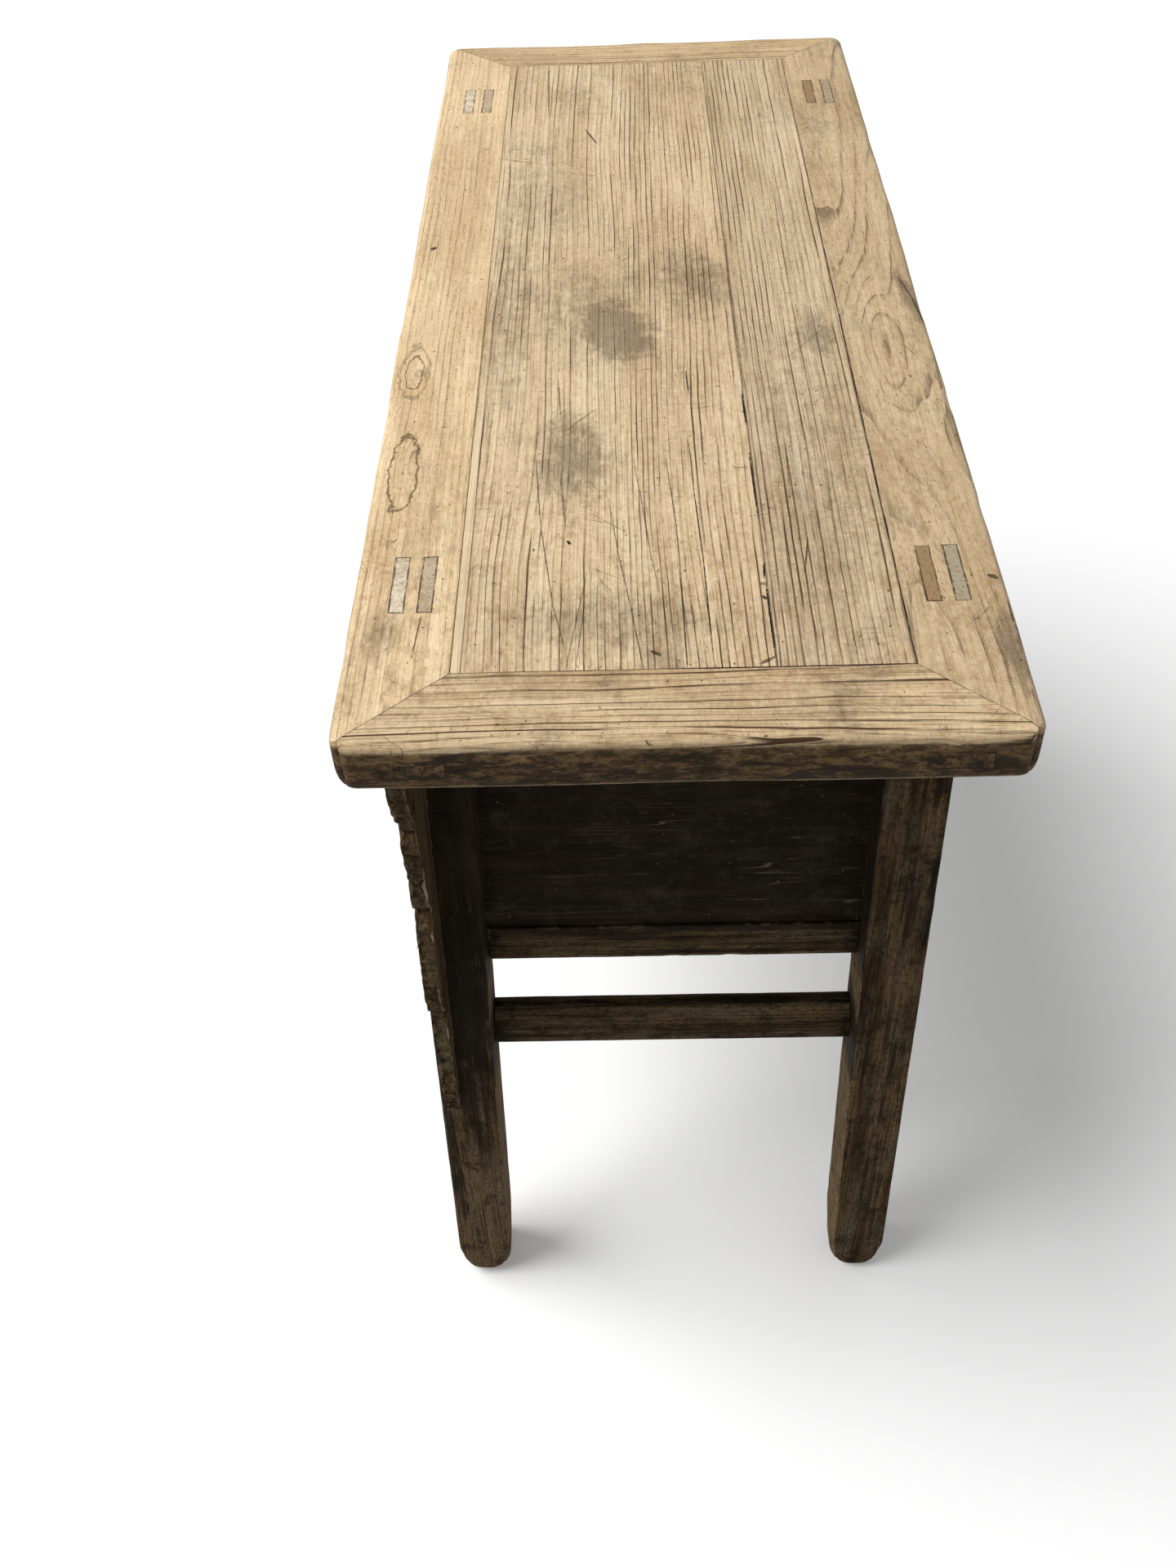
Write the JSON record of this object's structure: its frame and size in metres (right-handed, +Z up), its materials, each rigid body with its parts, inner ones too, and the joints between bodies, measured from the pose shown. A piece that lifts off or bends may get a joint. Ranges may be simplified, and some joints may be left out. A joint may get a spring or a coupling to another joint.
{
  "type": "chinese altar table",
  "caption": "Altar table with a mitred floating-board top, leaning legs, carved hanging spandrels, and drawers with bail pulls over a closed store.",
  "frame": {"origin": "centre of the footprint on the floor", "axes": "+X along the length to the right as seen from the front, +Y from the drawer front to the back, +Z up"},
  "size_m": [1.074, 0.4182, 0.854],
  "materials": {
    "bleached_elm": "worn matt, open grain",
    "dark_lacquer": "thin worn dark lacquer",
    "bare_wood": "unfinished, aged",
    "aged_brass": "dull, handled"
  },
  "bodies": {
    "case": {"top_front_member": "bleached_elm", "top_back_member": "bleached_elm", "top_front_board": "bleached_elm", "top_back_board": "bleached_elm", "top_end_member_left": "bleached_elm", "top_end_member_right": "bleached_elm", "front_top_rail": "dark_lacquer", "front_middle_rail": "dark_lacquer", "front_lower_rail": "dark_lacquer", "front_divider": "dark_lacquer", "front_panel": "dark_lacquer", "front_apron": "dark_lacquer", "back_top_rail": "dark_lacquer", "back_middle_rail": "dark_lacquer", "back_lower_rail": "dark_lacquer", "back_upper_panel": "dark_lacquer", "back_lower_panel": "dark_lacquer", "leg_front_left": "dark_lacquer", "leg_front_right": "dark_lacquer", "leg_back_left": "dark_lacquer", "leg_back_right": "dark_lacquer", "end_top_rail_left": "dark_lacquer", "end_top_rail_right": "dark_lacquer", "end_lower_rail_left": "dark_lacquer", "end_lower_rail_right": "dark_lacquer", "end_stretcher_left": "dark_lacquer", "end_stretcher_right": "dark_lacquer", "end_panel_left": "dark_lacquer", "end_panel_right": "dark_lacquer", "spandrel_left": "dark_lacquer", "spandrel_right": "dark_lacquer", "bottom_board": "bare_wood", "drawer_guide": "bare_wood", "top_batten_middle": "bare_wood", "drawer_runner_middle": "bare_wood", "top_batten_left": "bare_wood", "top_batten_right": "bare_wood", "drawer_runner_left": "bare_wood", "drawer_runner_right": "bare_wood"},
    "drawer_left": {"drawer_front_left": "dark_lacquer", "drawer_inner_side_left": "bare_wood", "drawer_outer_side_left": "bare_wood", "drawer_back_left": "bare_wood", "drawer_bottom_left": "bare_wood", "pull_plate_left": "aged_brass", "pull_inner_post_left": "aged_brass", "pull_outer_post_left": "aged_brass"},
    "drawer_right": {"drawer_front_right": "dark_lacquer", "drawer_inner_side_right": "bare_wood", "drawer_outer_side_right": "bare_wood", "drawer_back_right": "bare_wood", "drawer_bottom_right": "bare_wood", "pull_plate_right": "aged_brass", "pull_inner_post_right": "aged_brass", "pull_outer_post_right": "aged_brass"},
    "bail_left": {"pull_bail_left": "aged_brass"},
    "bail_right": {"pull_bail_right": "aged_brass"}
  },
  "joints": [
    {"name": "drawer_slide_left", "type": "slide", "parent": "case", "child": "drawer_left", "axis": [0, -1, 0], "range_m": [0, 0.22]},
    {"name": "drawer_slide_right", "type": "slide", "parent": "case", "child": "drawer_right", "axis": [0, -1, 0], "range_m": [0, 0.22]},
    {"name": "bail_swing_left", "type": "hinge", "parent": "drawer_left", "child": "bail_left", "pos_m": [-0.189, -0.2005, 0.7376], "axis": [-1, 0, 0], "range_deg": [0, 100]},
    {"name": "bail_swing_right", "type": "hinge", "parent": "drawer_right", "child": "bail_right", "pos_m": [0.189, -0.2005, 0.7376], "axis": [-1, 0, 0], "range_deg": [0, 100]}
  ]
}
